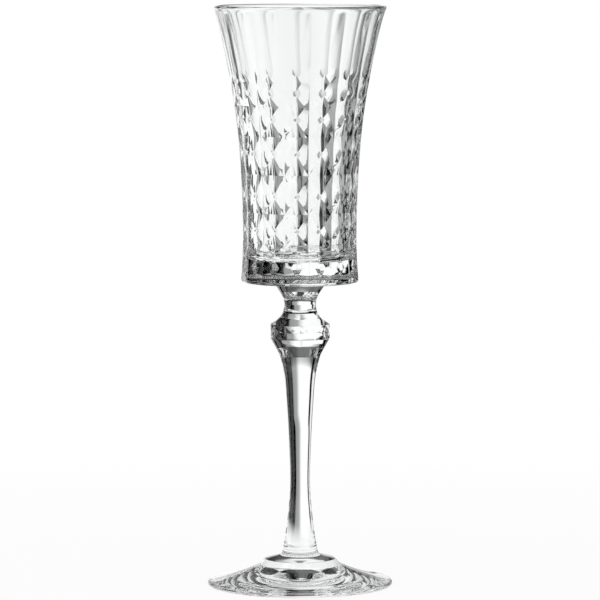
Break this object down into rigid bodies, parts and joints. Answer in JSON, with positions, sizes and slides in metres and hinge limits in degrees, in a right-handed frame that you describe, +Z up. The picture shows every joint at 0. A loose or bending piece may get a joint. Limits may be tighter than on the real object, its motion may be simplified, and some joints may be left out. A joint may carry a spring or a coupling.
{
  "type": "champagne flute",
  "caption": "Tall footed glass with a flared panelled bowl cut with columns of lozenges, a faceted knop, a waisted stem and a round foot.",
  "frame": {"origin": "centre of the ring the foot stands on, on the table plane", "axes": "+Z up along the stem and bowl axis; a bowl panel faces -Y (turned 3.3 degrees towards -X)"},
  "size_m": [0.075, 0.075, 0.235],
  "materials": {
    "clear_glass": "fire-polished clear colourless soda-lime glass, pressed facets"
  },
  "bodies": {
    "root": {"bowl": "clear_glass", "neck": "clear_glass", "knop": "clear_glass", "stem": "clear_glass", "foot_boss": "clear_glass", "foot": "clear_glass"}
  },
  "joints": []
}
